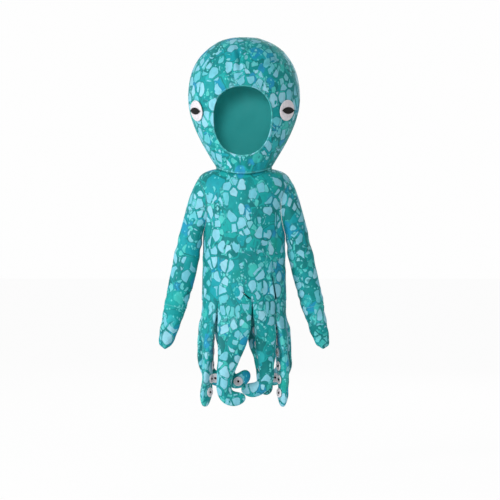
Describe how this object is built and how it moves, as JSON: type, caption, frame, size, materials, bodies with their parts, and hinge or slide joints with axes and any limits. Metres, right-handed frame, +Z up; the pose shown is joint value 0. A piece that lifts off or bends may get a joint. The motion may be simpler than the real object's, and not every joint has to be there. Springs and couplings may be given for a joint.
{
  "type": "octopus costume",
  "caption": "Child's octopus costume: padded hood with a face opening and side eyes, long-sleeved tunic with mitts and a back zip, and stuffed tentacles hanging from the hem.",
  "frame": {"origin": "middle of the neck opening, level with the top of the neckline", "axes": "+Z up along the wearer, the front faces -Y, the wearer's left arm is on +X; node names say left and right as seen from the front"},
  "size_m": [0.4862, 0.2904, 1.055],
  "materials": {
    "print_cloth": "stretch cloth, satin",
    "lining_cloth": "plain knit, matt",
    "foam": "foam",
    "stuffing": "loose fibre",
    "elastic": "woven elastic",
    "white_plush": "short plush",
    "black_felt": "felt",
    "zip_plastic": "moulded",
    "zip_metal": "painted"
  },
  "bodies": {
    "tunic": {"tunic_front_panel": "print_cloth", "tunic_back_left_panel": "print_cloth", "tunic_back_right_panel": "print_cloth", "neckline_binding": "print_cloth", "hang_loop": "lining_cloth", "zip_tapes": "lining_cloth", "zip_teeth": "zip_plastic", "zip_stops": "zip_plastic"},
    "hood": {"hood_front_panel": "print_cloth", "hood_back_panel": "print_cloth", "hood_front_lining": "lining_cloth", "hood_back_lining": "lining_cloth", "hood_crown_pad": "foam", "face_opening_binding": "print_cloth", "hood_hem_elastic": "elastic", "left_eye_white": "white_plush", "right_eye_white": "white_plush", "left_pupil": "black_felt", "right_pupil": "black_felt"},
    "left_sleeve": {"left_sleeve": "print_cloth", "left_wrist_elastic": "elastic"},
    "left_mitt": {"left_mitt": "print_cloth"},
    "right_sleeve": {"right_sleeve": "print_cloth", "right_wrist_elastic": "elastic"},
    "right_mitt": {"right_mitt": "print_cloth"},
    "front_left_tentacle": {"front_left_tentacle_skin": "print_cloth", "front_left_tentacle_stuffing": "stuffing", "front_left_suckers": "white_plush", "front_left_sucker_dots": "black_felt"},
    "front_right_tentacle": {"front_right_tentacle_skin": "print_cloth", "front_right_tentacle_stuffing": "stuffing", "front_right_suckers": "white_plush", "front_right_sucker_dots": "black_felt"},
    "right_front_tentacle": {"right_front_tentacle_skin": "print_cloth", "right_front_tentacle_stuffing": "stuffing", "right_front_suckers": "white_plush", "right_front_sucker_dots": "black_felt"},
    "right_back_tentacle": {"right_back_tentacle_skin": "print_cloth", "right_back_tentacle_stuffing": "stuffing", "right_back_suckers": "white_plush", "right_back_sucker_dots": "black_felt"},
    "back_right_tentacle": {"back_right_tentacle_skin": "print_cloth", "back_right_tentacle_stuffing": "stuffing", "back_right_suckers": "white_plush", "back_right_sucker_dots": "black_felt"},
    "back_left_tentacle": {"back_left_tentacle_skin": "print_cloth", "back_left_tentacle_stuffing": "stuffing", "back_left_suckers": "white_plush", "back_left_sucker_dots": "black_felt"},
    "left_back_tentacle": {"left_back_tentacle_skin": "print_cloth", "left_back_tentacle_stuffing": "stuffing", "left_back_suckers": "white_plush", "left_back_sucker_dots": "black_felt"},
    "left_front_tentacle": {"left_front_tentacle_skin": "print_cloth", "left_front_tentacle_stuffing": "stuffing", "left_front_suckers": "white_plush", "left_front_sucker_dots": "black_felt"},
    "zip_slider": {"zip_slider": "zip_metal"},
    "zip_pull": {"zip_pull": "zip_metal"}
  },
  "joints": [
    {"name": "hood_lift", "type": "slide", "parent": "tunic", "child": "hood", "axis": [0, 0, 1], "range_m": [0, 0.4]},
    {"name": "left_shoulder", "type": "hinge", "parent": "tunic", "child": "left_sleeve", "pos_m": [-0.13148, 0, -0.03161], "axis": [0, 1, 0], "range_deg": [0, 75]},
    {"name": "left_wrist", "type": "hinge", "parent": "left_sleeve", "child": "left_mitt", "pos_m": [-0.196, 0, -0.395], "axis": [-0.975, 0, 0.2224], "range_deg": [-30, 30]},
    {"name": "right_shoulder", "type": "hinge", "parent": "tunic", "child": "right_sleeve", "pos_m": [0.13148, 0, -0.03161], "axis": [0, -1, 0], "range_deg": [0, 75]},
    {"name": "right_wrist", "type": "hinge", "parent": "right_sleeve", "child": "right_mitt", "pos_m": [0.196, 0, -0.395], "axis": [0.975, 0, 0.2224], "range_deg": [-30, 30]},
    {"name": "front_left_swing", "type": "hinge", "parent": "tunic", "child": "front_left_tentacle", "pos_m": [-0.02927, -0.08345, -0.37717], "axis": [-0.9847, 0.1745, 0], "range_deg": [0, 35]},
    {"name": "front_right_swing", "type": "hinge", "parent": "tunic", "child": "front_right_tentacle", "pos_m": [0.06141, -0.0741, -0.37717], "axis": [-0.9224, -0.3862, 0], "range_deg": [0, 35]},
    {"name": "right_front_swing", "type": "hinge", "parent": "tunic", "child": "right_front_tentacle", "pos_m": [0.11508, -0.02658, -0.37717], "axis": [-0.4158, -0.9095, 0], "range_deg": [0, 35]},
    {"name": "right_back_swing", "type": "hinge", "parent": "tunic", "child": "right_back_tentacle", "pos_m": [0.10733, 0.03971, -0.37717], "axis": [0.5909, -0.8068, 0], "range_deg": [0, 35]},
    {"name": "back_right_swing", "type": "hinge", "parent": "tunic", "child": "back_right_tentacle", "pos_m": [0.03939, 0.08131, -0.37717], "axis": [0.9713, -0.2377, 0], "range_deg": [0, 35]},
    {"name": "back_left_swing", "type": "hinge", "parent": "tunic", "child": "back_left_tentacle", "pos_m": [-0.04922, 0.07856, -0.37717], "axis": [0.9534, 0.3017, 0], "range_deg": [0, 35]},
    {"name": "left_back_swing", "type": "hinge", "parent": "tunic", "child": "left_back_tentacle", "pos_m": [-0.11296, 0.03082, -0.37717], "axis": [0.4752, 0.8799, 0], "range_deg": [0, 35]},
    {"name": "left_front_swing", "type": "hinge", "parent": "tunic", "child": "left_front_tentacle", "pos_m": [-0.10875, -0.0377, -0.37717], "axis": [-0.5658, 0.8245, 0], "range_deg": [0, 35]},
    {"name": "zip_travel", "type": "slide", "parent": "tunic", "child": "zip_slider", "axis": [0, 0, -1], "range_m": [0, 0.24]},
    {"name": "zip_pull_hinge", "type": "hinge", "parent": "zip_slider", "child": "zip_pull", "pos_m": [0, 0.08995, -0.056], "axis": [1, 0, 0], "range_deg": [0, 150]}
  ]
}
